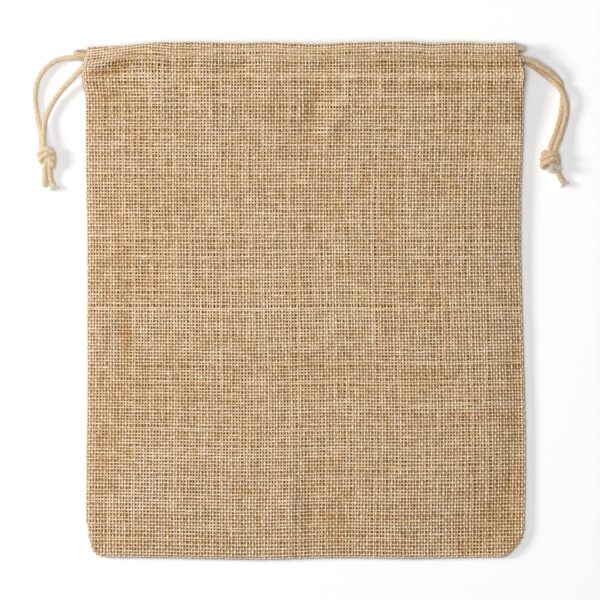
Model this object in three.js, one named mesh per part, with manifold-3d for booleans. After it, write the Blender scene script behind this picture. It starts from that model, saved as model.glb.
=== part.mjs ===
// A flat jute drawstring bag lying on its back: two woven panels sewn together at the sides and the
// bottom, each with its top edge turned in as a casing, and two cotton drawstrings that run through
// both casings and end in a knot on either side of the bag.
// Millimetres, +X to the right, +Y towards the mouth, +Z up from the table.
import * as THREE from 'three';
import { mergeVertices } from 'three/addons/utils/BufferGeometryUtils.js';
import Module from 'manifold-3d';

// Driving dimensions
const CLOTH = 1.3; // thickness of the woven jute
const HALF_WIDTH = 125; // half of the nominal width of the bag
const BOTTOM = -145.9; // the bottom edge of the bag
const TOP = 147; // the top edge of the casing
const STITCH_LINE = 128; // the stitch line under the casing
const EDGE_RADIUS = 2.3; // how roundly the cloth turns into the seams
const SEAM_HEIGHT = 3; // height of the sewn edge over the table
const LEAST_RISE = 1; // how far the front panel stays above its seam in the deepest fold
const GAP = 0.3; // clearance between pieces that touch
const DOME = 7.4; // how far the front panel rises towards its middle
const DOME_REACH = 90; // distance from the bottom seam at which it has risen
const MOUTH_RISE = 5.2; // how far the front casing stands up in the middle
const LIFT_START = 84; // where the front panel starts to rise to its casing
const SLIT_START = 111; // where the side seam starts to open below the casing
const SLIT_END = 123;
const CORD = 2.8; // diameter of the drawstrings
const CORD_SIDES = 8;
const TUNNEL = 3.8; // clear height of a casing
const PINCH = 0.3; // share of the casing's height over which it closes to the stitch line
const HEM_END = 1.5; // the hem's edge below the stitch line
const STITCH_WIDTH = 0.8; // half width of the sewn-down strip
const CROSSING_REACH = 20; // half length of the swelling where the two cords cross in a casing
const CROSSING_RISE = 0.68; // how much fuller the casing is there
const FRONT_CROSSING = -62;
const BACK_CROSSING = 68;

// The bag's outline, bottom to top: where its left and right edges lie.
const OUTLINE = [
  { y: -146.8, left: -111.6, right: 110.8 },
  { y: -145.6, left: -115.1, right: 113.0 },
  { y: -143.9, left: -118.2, right: 115.9 },
  { y: -141.6, left: -120.3, right: 118.4 },
  { y: -137.7, left: -121.8, right: 122.0 },
  { y: -131.4, left: -123.0, right: 124.6 },
  { y: -122.8, left: -124.0, right: 125.0 },
  { y: -102.9, left: -124.0, right: 125.4 },
  { y: -74.4, left: -123.7, right: 125.4 },
  { y: -45.9, left: -123.4, right: 124.8 },
  { y: -17.4, left: -123.4, right: 124.0 },
  { y: 28.2, left: -123.4, right: 122.8 },
  { y: 62.4, left: -124.0, right: 123.0 },
  { y: 90.9, left: -124.3, right: 124.0 },
  { y: 115.4, left: -124.3, right: 124.2 },
  { y: 122.3, left: -125.4, right: 124.2 },
  { y: 127.4, left: -126.0, right: 124.8 },
  { y: 133.1, left: -126.0, right: 123.8 },
  { y: 139.9, left: -124.0, right: 122.0 },
  { y: 146.8, left: -123.1, right: 119.7 },
];

// How far the top and bottom edges sag from a straight line.
const TOP_EDGE = [
  { x: -125, sag: 3.0 },
  { x: -105, sag: 2.2 },
  { x: -88, sag: 0.6 },
  { x: -65, sag: 0.2 },
  { x: -41, sag: 0.8 },
  { x: -20, sag: 0.3 },
  { x: 6, sag: 1.2 },
  { x: 32, sag: 0.3 },
  { x: 62, sag: 0.0 },
  { x: 74, sag: 0.8 },
  { x: 92, sag: 0.3 },
  { x: 108, sag: 0.8 },
  { x: 125, sag: 0.4 },
];
const BOTTOM_EDGE = [
  { x: -125, sag: -0.4 },
  { x: -85, sag: 0.2 },
  { x: -28, sag: 1.1 },
  { x: 20, sag: 0.1 },
  { x: 62, sag: 0.6 },
  { x: 125, sag: -0.4 },
];

// Soft troughs and ridges of the front panel: `along` and `across` are the half lengths of each fold,
// `turn` its direction from +X in degrees, `rise` its height.
const FOLDS = [
  { x: -66, y: 132.5, along: 8, across: 3.2, turn: 0, rise: -1.3 },
  { x: -39, y: 132.5, along: 8, across: 3.2, turn: 0, rise: -1.2 },
  { x: 12, y: 132.2, along: 8, across: 3.2, turn: -20, rise: -1.5 },
  { x: 82, y: 133.0, along: 36, across: 3.2, turn: 0, rise: -0.8 },
  { x: -82, y: 112.0, along: 22, across: 7.0, turn: 90, rise: 1.6 },
  { x: -54, y: 114.0, along: 16, across: 6.0, turn: 90, rise: 1.4 },
  { x: -22, y: 117.0, along: 13, across: 5.5, turn: 90, rise: 1.2 },
  { x: -108, y: 116.0, along: 8, across: 7.0, turn: 0, rise: -1.4 },
  { x: 72, y: 119.5, along: 44, across: 4.0, turn: 2, rise: -1.5 },
  { x: 5, y: 104.0, along: 20, across: 5.5, turn: 84, rise: -2.0 },
  { x: 19, y: 104.0, along: 22, across: 5.0, turn: 66, rise: 1.5 },
  { x: 0, y: -21.0, along: 125, across: 8.0, turn: 1, rise: 1.4 },
  { x: 5, y: -41.0, along: 115, across: 9.0, turn: -1, rise: -0.9 },
  { x: -9, y: -117.0, along: 27, across: 4.5, turn: 90, rise: 1.6 },
  { x: 4, y: -119.0, along: 24, across: 6.0, turn: 92, rise: -1.1 },
  { x: -74, y: -92.0, along: 34, across: 5.0, turn: 2, rise: 1.2 },
  { x: -101, y: -10.0, along: 38, across: 4.5, turn: 90, rise: -1.1 },
  { x: 124, y: -55.0, along: 85, across: 10.0, turn: 90, rise: -1.8 },
  { x: 106, y: -120.0, along: 36, across: 20.0, turn: 45, rise: -2.0 },
];

// The crease under the left drawstring, where the casing's cloth falls from the cord to the stitch line.
const CREASE = {
  start: [-121.5, 127.5],
  end: [-101, 136.5],
  floor: 0, // height of its floor from the middle of the casing
  foot: 4, // distance from the stitch line at which the floor is reached
  side: [-0.5, 2.4], // from where to where, beyond its line, the cloth rises again
  deepens: [-0.25, 0.2], // shares of its length over which it deepens and fades out
  fades: [0.65, 1.2],
};

// Worked out from the driving dimensions
const ROLL = EDGE_RADIUS * Math.PI / 2; // cloth taken up by the turn into a seam
const CLOTH_WIDTH = 2 * (HALF_WIDTH - EDGE_RADIUS + ROLL);
const TUNNEL_HALF = (TUNNEL + CLOTH) / 2; // from the casing's middle to the middle of its cloth
const STITCHED_HALF = (CLOTH + GAP) / 2;
const CLOTH_TOP = TOP - CLOTH / 2; // the middle of the cloth at the top and bottom edges
const CLOTH_BOTTOM = BOTTOM + CLOTH / 2;
const STRAIGHT = CLOTH_TOP - STITCH_LINE - TUNNEL_HALF; // casing below its rounded top
const STITCH_AT = ROLL + STITCH_LINE - CLOTH_BOTTOM - EDGE_RADIUS; // cloth below the stitch line
const FOLD_AT = STITCH_AT + STRAIGHT;
const FLAP_AT = FOLD_AT + Math.PI * TUNNEL_HALF;
const FLAP_STITCH_AT = FLAP_AT + STRAIGHT;
const CASING_MIDDLE = CLOTH + 2 * TUNNEL_HALF + GAP + CLOTH / 2 + TUNNEL_HALF; // front casing at its ends

const NEAR = 0.02; // step along the cloth from which its slope is taken
const WELD = 1e-4; // points closer than this are one point

const { clamp, degToRad, lerp, smoothstep } = THREE.MathUtils;

// Reads one column of a table on a smooth curve through its rows.
function readTable(rows, key, column, at) {
  const last = rows.length - 1;
  const place = clamp(at, rows[0][key], rows[last][key]);
  let i = 0;
  while (i < last - 1 && place > rows[i + 1][key]) {
    i += 1;
  }
  const slope = (k) => {
    const before = rows[Math.max(k - 1, 0)];
    const after = rows[Math.min(k + 1, last)];
    return (after[column] - before[column]) / (after[key] - before[key]);
  };
  const span = rows[i + 1][key] - rows[i][key];
  const t = (place - rows[i][key]) / span;
  const bend = t * (1 - t) * ((1 - t) * slope(i) - t * slope(i + 1)) * span;
  return lerp(rows[i][column], rows[i + 1][column], t * t * (3 - 2 * t)) + bend;
}

function foldHeight(x, y) {
  let height = 0;
  for (const fold of FOLDS) {
    const angle = degToRad(fold.turn);
    const along = ((x - fold.x) * Math.cos(angle) + (y - fold.y) * Math.sin(angle)) / fold.along;
    const across = ((y - fold.y) * Math.cos(angle) - (x - fold.x) * Math.sin(angle)) / fold.across;
    height += fold.rise * Math.exp(-along * along - across * across);
  }
  return height;
}

// How much of the crease's full depth the cloth has at a place.
function creaseShare(x, y) {
  const start = new THREE.Vector2(...CREASE.start);
  const run = new THREE.Vector2(...CREASE.end).sub(start);
  const place = new THREE.Vector2(x, y).sub(start);
  const along = place.dot(run) / run.lengthSq();
  const above = run.cross(place) / run.length();
  const ends = smoothstep(along, ...CREASE.deepens) * (1 - smoothstep(along, ...CREASE.fades));
  return ends * (1 - smoothstep(above, ...CREASE.side));
}

// Half the distance between the two layers of a casing, `up` from its stitch line (0) to its fold (1).
function casingHalf(up, x, crossing) {
  const away = (x - crossing) / CROSSING_REACH;
  const full = TUNNEL_HALF * (1 + CROSSING_RISE * Math.exp(-away * away));
  return lerp(STITCHED_HALF, full, smoothstep(up, 0, PINCH));
}

// The middle of a panel's cloth. `s` runs across from seam to seam, `t` from the bottom seam over the
// casing's fold to the edge of the hem, both measured along the cloth.
function panelPoint(front, s, t) {
  const flatShare = clamp((s - ROLL) / (CLOTH_WIDTH - 2 * ROLL), 0, 1);
  const nominal = lerp(-HALF_WIDTH, HALF_WIDTH, flatShare);
  const sideTurn = clamp(Math.min(s, CLOTH_WIDTH - s) / EDGE_RADIUS, 0, Math.PI / 2);
  const bottomTurn = clamp(t / EDGE_RADIUS, 0, Math.PI / 2);
  const bottom = CLOTH_BOTTOM - readTable(BOTTOM_EDGE, 'x', 'sag', nominal);
  const casingTop = CLOTH_TOP - readTable(TOP_EDGE, 'x', 'sag', nominal);
  const straight = casingTop - TUNNEL_HALF - STITCH_LINE;

  // Height along the bag, and the share of the casing that lies below this point.
  let y = lerp(bottom + EDGE_RADIUS, STITCH_LINE, (t - ROLL) / (STITCH_AT - ROLL));
  let up = 0;
  let foldTurn = 0;
  if (t < ROLL) {
    y = bottom + EDGE_RADIUS * (1 - Math.cos(bottomTurn));
  } else if (t > FLAP_AT) {
    up = (FLAP_STITCH_AT - t) / STRAIGHT;
    foldTurn = Math.PI;
    y = STITCH_LINE + up * straight;
  } else if (t > FOLD_AT) {
    up = 1;
    foldTurn = (t - FOLD_AT) / TUNNEL_HALF;
    y = STITCH_LINE + straight + TUNNEL_HALF * Math.sin(foldTurn);
  } else if (t > STITCH_AT) {
    up = (t - STITCH_AT) / STRAIGHT;
    y = STITCH_LINE + up * straight;
  }

  // Place across the bag.
  const left = readTable(OUTLINE, 'y', 'left', y) + CLOTH / 2;
  const right = readTable(OUTLINE, 'y', 'right', y) - CLOTH / 2;
  const inset = EDGE_RADIUS * (1 - Math.cos(sideTurn));
  let x = lerp(left + EDGE_RADIUS, right - EDGE_RADIUS, flatShare);
  if (s < ROLL) {
    x = left + inset;
  } else if (s > CLOTH_WIDTH - ROLL) {
    x = right - inset;
  }

  // Height over the table: the edges come down to the seam, but for the open ends of the casing.
  const sewn = 1 - smoothstep(y, SLIT_START, SLIT_END);
  const edge = (1 - sewn * (1 - Math.sin(sideTurn))) * Math.sin(bottomTurn);
  const half = casingHalf(up, x, front ? FRONT_CROSSING : BACK_CROSSING);
  if (!front) {
    const seam = SEAM_HEIGHT - GAP / 2;
    const layer = lerp(seam, CLOTH / 2, edge) + half * (1 - Math.cos(foldTurn));
    return new THREE.Vector3(x, y, layer);
  }
  const seam = SEAM_HEIGHT + GAP / 2;
  const fromMiddle = Math.abs(nominal / HALF_WIDTH);
  const fromBottom = 1 - clamp((y - bottom) / DOME_REACH, 0, 1);
  const body = seam + EDGE_RADIUS + DOME * (1 - fromMiddle ** 3) * (1 - fromBottom ** 3);
  const casing = CASING_MIDDLE + MOUTH_RISE * (1 - fromMiddle ** 2) + half * Math.cos(foldTurn);
  const floor = lerp(STITCHED_HALF, CREASE.floor, smoothstep(y, STITCH_LINE, STITCH_LINE + CREASE.foot));
  const folds = foldHeight(x, y) + Math.min(floor - half, 0) * creaseShare(x, y);
  const relief = folds * Math.max(Math.cos(foldTurn), 0);
  const height = lerp(body, casing, smoothstep(y, LIFT_START, STITCH_LINE)) + relief;
  return new THREE.Vector3(x, y, lerp(seam, Math.max(height, seam + LEAST_RISE), edge));
}

// The point on one face of the cloth, half its thickness away from the middle.
function facePoint(front, s, t, offset) {
  const before = panelPoint(front, Math.max(s - NEAR, 0), t);
  const after = panelPoint(front, Math.min(s + NEAR, CLOTH_WIDTH), t);
  const below = panelPoint(front, s, Math.max(t - NEAR, 0));
  const above = panelPoint(front, s, t + NEAR);
  const normal = after.sub(before).cross(above.sub(below));
  const middle = panelPoint(front, s, t);
  const atSide = s === 0 || s === CLOTH_WIDTH;
  if (t === 0 || (atSide && middle.y < SLIT_START)) {
    normal.z = 0; // the cloth stands upright where it meets the other panel
  }
  return middle.addScaledVector(normal.normalize(), offset);
}

// A closed solid from rings with equal numbers of points, its two ends filled by flat fans.
function loft(rings) {
  const size = rings[0].length;
  const positions = rings.flat().flatMap((point) => point.toArray());
  const triangles = [];
  for (let i = 0; i + 1 < rings.length; i += 1) {
    for (let k = 0; k < size; k += 1) {
      const a = i * size + k;
      const b = i * size + (k + 1) % size;
      triangles.push(a, b, b + size, a, b + size, a + size);
    }
  }
  const end = (rings.length - 1) * size;
  for (let k = 1; k + 1 < size; k += 1) {
    triangles.push(0, k + 1, k, end, end + k, end + k + 1);
  }
  const geometry = new THREE.BufferGeometry();
  geometry.setAttribute('position', new THREE.Float32BufferAttribute(positions, 3));
  geometry.setIndex(triangles);
  return geometry;
}

// A closed sheet between two faces, each a list of rows with equal numbers of points.
function sheet(upper, lower) {
  const columns = upper[0].length;
  const rows = upper.length;
  const positions = [...upper, ...lower].flat().flatMap((point) => point.toArray());
  const triangles = [];
  const quad = (a, b, c, d) => triangles.push(a, b, c, a, c, d);
  const top = (row, column) => row * columns + column;
  const under = (row, column) => (rows + row) * columns + column;
  for (let r = 0; r + 1 < rows; r += 1) {
    for (let c = 0; c + 1 < columns; c += 1) {
      quad(top(r, c), top(r, c + 1), top(r + 1, c + 1), top(r + 1, c));
      quad(under(r, c), under(r + 1, c), under(r + 1, c + 1), under(r, c + 1));
    }
    quad(top(r, 0), top(r + 1, 0), under(r + 1, 0), under(r, 0));
    quad(top(r + 1, columns - 1), top(r, columns - 1), under(r, columns - 1), under(r + 1, columns - 1));
  }
  for (let c = 0; c + 1 < columns; c += 1) {
    quad(top(0, c + 1), top(0, c), under(0, c), under(0, c + 1));
    quad(top(rows - 1, c), top(rows - 1, c + 1), under(rows - 1, c + 1), under(rows - 1, c));
  }
  const geometry = new THREE.BufferGeometry();
  geometry.setAttribute('position', new THREE.Float32BufferAttribute(positions, 3));
  geometry.setIndex(triangles);
  return geometry;
}

const wasm = await Module();
wasm.setup();

function solidOf(geometry) {
  const bare = geometry.clone();
  bare.deleteAttribute('normal');
  bare.deleteAttribute('uv');
  const merged = mergeVertices(bare, WELD);
  const mesh = new wasm.Mesh({
    numProp: 3,
    vertProperties: new Float32Array(merged.attributes.position.array),
    triVerts: new Uint32Array(merged.index.array),
  });
  return new wasm.Manifold(mesh);
}

function joined(geometries) {
  let solid = solidOf(geometries[0]);
  for (const geometry of geometries.slice(1)) {
    solid = solid.add(solidOf(geometry));
  }
  const mesh = solid.getMesh();
  const geometry = new THREE.BufferGeometry();
  geometry.setAttribute('position', new THREE.Float32BufferAttribute(mesh.vertProperties, 3));
  geometry.setIndex(Array.from(mesh.triVerts));
  return geometry;
}

// Stations along one direction, closer together towards both ends.
function eased(from, to, count) {
  const closeness = 0.4;
  const stations = [];
  for (let k = 1; k < count; k += 1) {
    const even = k / count;
    const crowded = (1 - Math.cos(Math.PI * even)) / 2;
    stations.push(lerp(from, to, lerp(even, crowded, closeness)));
  }
  return stations;
}

// One panel: its cloth with the hem turned in, and the strip where the hem is sewn down.
function panelGeometry(front, columnCount, rowCount) {
  const rolled = [0, ROLL / 3, 2 * ROLL / 3, ROLL];
  const across = [
    ...rolled,
    ...eased(ROLL, CLOTH_WIDTH - ROLL, columnCount),
    ...rolled.map((s) => CLOTH_WIDTH - s).reverse(),
  ];
  const casingShares = [0, 0.08, 0.18, 0.3, 0.55, 0.8];
  const foldShares = [0, 0.2, 0.4, 0.6, 0.8, 1];
  const hemShares = [0.6, 0.3, 0.18, 0.08];
  const along = [
    ...rolled,
    ...eased(ROLL, STITCH_AT, rowCount),
    ...casingShares.map((up) => STITCH_AT + up * STRAIGHT),
    ...foldShares.map((share) => lerp(FOLD_AT, FLAP_AT, share)),
    ...hemShares.map((up) => FLAP_STITCH_AT - up * STRAIGHT),
    FLAP_STITCH_AT + HEM_END,
  ];
  const face = (offset) => along.map((t) => across.map((s) => facePoint(front, s, t, offset)));
  const cloth = sheet(face(CLOTH / 2), face(-CLOTH / 2));

  const sewnStations = across.slice(2, -2);
  const sewnStrip = loft(sewnStations.map((s) => {
    const outer = panelPoint(front, s, STITCH_AT);
    const hem = panelPoint(front, s, FLAP_STITCH_AT);
    const corner = (point, y) => new THREE.Vector3(point.x, point.y + y, point.z);
    const [low, high] = front ? [hem, outer] : [outer, hem];
    return [
      corner(low, -STITCH_WIDTH),
      corner(low, STITCH_WIDTH),
      corner(high, STITCH_WIDTH),
      corner(high, -STITCH_WIDTH),
    ];
  }));
  return joined([cloth, sewnStrip]);
}

// A drawstring's centre line, stepped evenly between its points so that tight bends get short steps.
class CordLine extends THREE.CatmullRomCurve3 {
  getUtoTmapping(u) {
    return u;
  }
}

function cordGeometry(route, stepsPerPoint) {
  const corners = [];
  for (let k = 0; k < CORD_SIDES; k += 1) {
    const angle = 2 * Math.PI * (k + 0.5) / CORD_SIDES;
    corners.push(new THREE.Vector2(CORD / 2 * Math.cos(angle), CORD / 2 * Math.sin(angle)));
  }
  const section = new THREE.Shape(corners);
  return new THREE.ExtrudeGeometry(section, {
    steps: (route.length - 1) * stepsPerPoint,
    extrudePath: new CordLine(route.map((point) => new THREE.Vector3(...point))),
  });
}

// Left drawstring: from its knot along the table into the back casing, round at the right-hand end of
// the bag and back through the front casing.
const LEFT_ROUTE = [
  [-149.4, 88.9, 2.9], [-150.0, 95.0, 2.0], [-151.5, 103.5, 1.6], [-152.8, 111.5, 1.7],
  [-152.9, 118.5, 2.2], [-151.6, 124.5, 2.7], [-148.6, 129.9, 3.0], [-144.0, 134.4, 3.2],
  [-138.0, 137.2, 3.2], [-131.0, 137.8, 3.1], [-123.0, 137.5, 3.2],
  [-90.0, 137.2, 3.2], [0.0, 137.0, 3.2], [31.0, 137.2, 3.3], [50.0, 138.0, 4.6],
  [68.0, 140.1, 6.4], [86.0, 142.2, 4.6], [111.0, 142.4, 3.2], [119.4, 142.1, 3.0],
  [122.9, 142.3, 4.1], [124.0, 142.7, 6.6], [122.9, 143.0, 9.1], [119.4, 142.9, 10.0],
  [100.0, 142.3, 11.4], [50.0, 142.5, 14.2], [0.0, 142.0, 15.1], [-44.0, 142.0, 15.2],
  [-62.0, 140.0, 15.6], [-80.0, 137.7, 13.3], [-98.0, 137.9, 11.5], [-110.0, 137.2, 10.7],
  [-118.0, 135.2, 10.1],
  [-125.4, 132.2, 10.0], [-131.1, 126.5, 7.7], [-136.4, 121.0, 5.3], [-141.1, 115.2, 4.2],
  [-144.9, 108.5, 3.6], [-147.5, 101.5, 3.7], [-148.3, 94.5, 4.9], [-148.2, 88.9, 5.9],
];

// Right drawstring: the same the other way round.
const RIGHT_ROUTE = [
  [140.1, 88.6, 4.3], [142.5, 95.0, 2.9], [145.3, 105.0, 1.7], [146.2, 111.0, 1.6],
  [146.4, 116.5, 1.6], [145.9, 121.0, 1.7], [144.2, 125.4, 3.5], [139.2, 129.8, 6.0],
  [134.1, 132.8, 7.8], [128.9, 135.8, 9.0],
  [108.0, 137.7, 11.0], [50.0, 137.5, 14.2], [2.0, 137.6, 14.9], [-24.0, 137.7, 14.7],
  [-44.0, 138.2, 13.7], [-62.0, 140.0, 11.9], [-80.0, 142.0, 12.4], [-104.0, 141.6, 11.1],
  [-119.0, 139.4, 9.9], [-126.2, 139.1, 10.1], [-128.8, 139.6, 9.0], [-129.7, 140.4, 6.6],
  [-128.8, 140.9, 4.1], [-126.2, 141.0, 3.1], [-119.0, 140.8, 3.2],
  [-60.0, 141.2, 3.2], [50.0, 141.8, 3.1], [68.0, 140.1, 2.9], [86.0, 137.8, 3.1],
  [112.0, 136.8, 3.2],
  [124.4, 135.4, 3.0], [130.8, 132.1, 2.4], [135.8, 128.4, 2.2], [140.6, 124.5, 3.1],
  [144.3, 121.0, 4.7], [146.8, 117.0, 4.9], [148.2, 112.3, 4.5], [148.6, 106.5, 3.4],
  [146.5, 97.5, 3.0], [143.3, 88.6, 4.9],
];

// An overhand knot: a rounded heart with lengths of cord over it, which are the two strands that come
// into it, the turns wrapped round it and its two cut ends.
function knotGeometry({ heart, strands }) {
  const core = new THREE.SphereGeometry(1, 12, 8);
  core.scale(...heart.radii);
  core.translate(...heart.at);
  return joined([core, ...strands.map((strand) => cordGeometry(strand, 2))]);
}

const LEFT_KNOT = {
  heart: { at: [-146.2, 80.9, 3.7], radii: [4.0, 4.9, 3.5] },
  strands: [
    [[-149.3, 88.1, 3.0], [-148.9, 85.0, 4.0], [-147.8, 80.5, 4.6]],
    [[-148.2, 88.1, 6.0], [-147.7, 85.0, 5.6], [-146.8, 81.0, 4.8]],
    [[-148.2, 80.6, 1.9], [-150.3, 81.6, 2.7], [-150.4, 83.6, 4.8], [-148.9, 85.3, 6.3],
      [-146.9, 85.9, 6.9], [-144.9, 85.6, 6.8], [-143.4, 84.3, 6.0], [-142.8, 82.7, 4.6],
      [-143.8, 81.4, 3.0]],
    [[-146.6, 78.2, 1.9], [-148.9, 78.4, 2.9], [-149.7, 79.8, 5.2], [-149.0, 81.4, 6.8],
      [-147.5, 82.5, 7.5], [-145.9, 82.9, 7.4], [-144.5, 82.5, 6.4], [-144.2, 81.2, 4.6]],
    [[-144.6, 81.6, 4.2], [-143.0, 81.0, 5.8], [-142.4, 79.7, 5.4], [-143.0, 78.4, 3.6]],
    [[-147.0, 80.2, 5.0], [-145.8, 80.2, 6.2], [-144.5, 79.4, 6.6], [-143.3, 77.8, 5.8],
      [-142.6, 76.5, 4.2], [-143.6, 76.6, 2.6]],
    [[-147.0, 79.5, 4.6], [-147.5, 76.0, 4.2], [-147.6, 71.5, 2.9], [-147.4, 65.6, 1.8]],
    [[-145.2, 79.5, 4.8], [-144.7, 76.0, 4.4], [-144.5, 72.0, 2.9], [-144.0, 68.4, 2.1],
      [-142.5, 64.8, 1.8]],
  ],
};

const RIGHT_KNOT = {
  heart: { at: [139.2, 79.4, 3.8], radii: [4.2, 4.8, 3.6] },
  strands: [
    [[139.9, 88.0, 4.4], [139.3, 84.5, 4.8], [139.3, 80.0, 4.8]],
    [[143.0, 88.0, 5.0], [142.1, 84.5, 5.0], [141.0, 80.0, 4.8]],
    [[136.4, 81.2, 2.6], [135.5, 82.9, 3.8], [136.7, 84.0, 5.0], [138.6, 83.2, 4.8]],
    [[137.4, 79.0, 1.9], [135.3, 79.2, 2.8], [135.0, 80.4, 4.8], [136.7, 81.3, 6.6],
      [139.3, 82.6, 7.6], [141.5, 83.0, 7.2], [143.1, 82.4, 5.6], [143.2, 80.8, 3.6], [141.8, 79.8, 2.4]],
    [[138.4, 75.9, 1.9], [136.0, 75.5, 2.6], [134.9, 76.5, 4.4], [136.3, 77.8, 6.4],
      [138.9, 79.3, 7.6], [141.4, 80.2, 7.3], [143.2, 80.0, 5.8], [143.6, 78.4, 3.8], [142.0, 77.4, 2.4]],
    [[140.6, 78.6, 4.6], [141.2, 77.0, 5.2], [141.3, 74.8, 5.0]],
    [[142.2, 78.4, 4.0], [142.9, 75.2, 3.6], [143.7, 72.8, 2.8], [145.1, 70.2, 2.1], [147.1, 66.6, 1.8]],
  ],
};

const jute = { color: '#c3a277', roughness: 0.95, metalness: 0 };
const cotton = { color: '#dcc39c', roughness: 0.85, metalness: 0 };

const bag = new THREE.Group();
const pieces = [
  ['front_panel', panelGeometry(true, 34, 26), jute],
  ['back_panel', panelGeometry(false, 16, 12), jute],
  ['left_drawstring', cordGeometry(LEFT_ROUTE, 2), cotton],
  ['right_drawstring', cordGeometry(RIGHT_ROUTE, 2), cotton],
  ['left_knot', knotGeometry(LEFT_KNOT), cotton],
  ['right_knot', knotGeometry(RIGHT_KNOT), cotton],
];
for (const [name, geometry, finish] of pieces) {
  const mesh = new THREE.Mesh(geometry, new THREE.MeshStandardMaterial(finish));
  mesh.name = name;
  bag.add(mesh);
}

export default bag;
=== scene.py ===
import math

import bpy
import numpy as np
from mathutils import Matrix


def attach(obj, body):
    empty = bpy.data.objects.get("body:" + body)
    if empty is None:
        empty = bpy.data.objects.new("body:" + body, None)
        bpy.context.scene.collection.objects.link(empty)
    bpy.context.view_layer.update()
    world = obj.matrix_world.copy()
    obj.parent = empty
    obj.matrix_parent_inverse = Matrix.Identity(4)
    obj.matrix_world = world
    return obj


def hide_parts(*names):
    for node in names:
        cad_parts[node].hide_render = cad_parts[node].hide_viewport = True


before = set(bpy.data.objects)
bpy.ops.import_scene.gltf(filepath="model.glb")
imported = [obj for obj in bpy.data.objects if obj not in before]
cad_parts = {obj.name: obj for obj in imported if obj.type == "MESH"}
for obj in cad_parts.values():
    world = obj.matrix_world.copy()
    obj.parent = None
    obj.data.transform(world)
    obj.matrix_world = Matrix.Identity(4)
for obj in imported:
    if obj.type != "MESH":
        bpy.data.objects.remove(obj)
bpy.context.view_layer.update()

# Camera: a long lens straight above the bag, with its mouth at the top of the picture, which spans
# 341 mm at the height of the bag's seam. Sizes are in millimetres, and MM turns them into metres.
MM = 0.001
PICTURE_WIDTH = 340.7
PICTURE_MIDDLE = (-2.57, 0.15)
SEAM_LEVEL = 3.0
LENS = 800.0
SENSOR = 36.0
camera_data = bpy.data.cameras.new("overhead_camera")
camera_data.lens = LENS
camera_data.sensor_width = SENSOR
camera_data.clip_end = 20.0
camera = bpy.data.objects.new("overhead_camera", camera_data)
camera.location = (
    PICTURE_MIDDLE[0] * MM,
    PICTURE_MIDDLE[1] * MM,
    (SEAM_LEVEL + PICTURE_WIDTH * LENS / SENSOR) * MM,
)
bpy.context.scene.collection.objects.link(camera)
bpy.context.scene.camera = camera


# Drawstrings: two lengths of round braided cotton cord, unbleached. Each one starts at its knot, runs
# through one casing, turns at the far end of the bag and comes back through the other casing.
CORD = 2.8
CORD_SIDES = 32
BRAID_STRANDS = 8  # strands that wind each way
BRAID_DEPTH = 0.10
BRAID_PITCH = 9.5  # length of one full turn of a strand
BRAID_STEP = 0.36  # between rings where the cord shows
MEAN_RELIEF = 0.4
# The braid's grooves get a painted shade: GROOVE_SHADE is how much its relief counts in the colour.
GROOVE_SHADE = 0.22  # how much the braid's relief counts in the colour
HIDDEN_STEP = 3.0  # between rings inside the casings
HIDDEN_HALF_WIDTH = 116.0
HIDDEN_ABOVE = 100.0
ASKEW = (0.31, 0.17, 0.93)  # a direction in which no cord starts
FUZZ_LIFT = 0.6  # how far the fuzz turns the shading to the sky
THREAD_RELIEF = 1.01  # a relief above this marks a loose thread
LEFT_ROUTE = [
    (-149.4, 88.9, 2.9), (-150.0, 95.0, 2.0), (-151.5, 103.5, 1.6), (-152.8, 111.5, 1.7),
    (-152.9, 118.5, 2.2), (-151.6, 124.5, 2.7), (-148.6, 129.9, 3.0), (-144.0, 134.4, 3.2),
    (-138.0, 137.2, 3.2), (-131.0, 137.8, 3.1), (-123.0, 137.5, 3.2),
    (-90.0, 137.2, 3.2), (0.0, 137.0, 3.2), (31.0, 137.2, 3.3), (50.0, 138.0, 4.6),
    (68.0, 140.1, 6.4), (86.0, 142.2, 4.6), (111.0, 142.4, 3.2), (119.4, 142.1, 3.0),
    (122.9, 142.3, 4.1), (124.0, 142.7, 6.6), (122.9, 143.0, 9.1), (119.4, 142.9, 10.0),
    (100.0, 142.3, 11.4), (50.0, 142.5, 14.2), (0.0, 142.0, 15.1), (-44.0, 142.0, 15.2),
    (-62.0, 140.0, 15.6), (-80.0, 137.7, 13.3), (-98.0, 137.9, 11.5), (-110.0, 137.2, 10.7),
    (-118.0, 135.2, 10.1),
    (-125.4, 132.2, 10.0), (-131.1, 126.5, 7.7), (-136.4, 121.0, 5.3), (-141.1, 115.2, 4.2),
    (-144.9, 108.5, 3.6), (-147.5, 101.5, 3.7), (-148.3, 94.5, 4.9), (-148.2, 88.9, 5.9),
]
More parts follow.
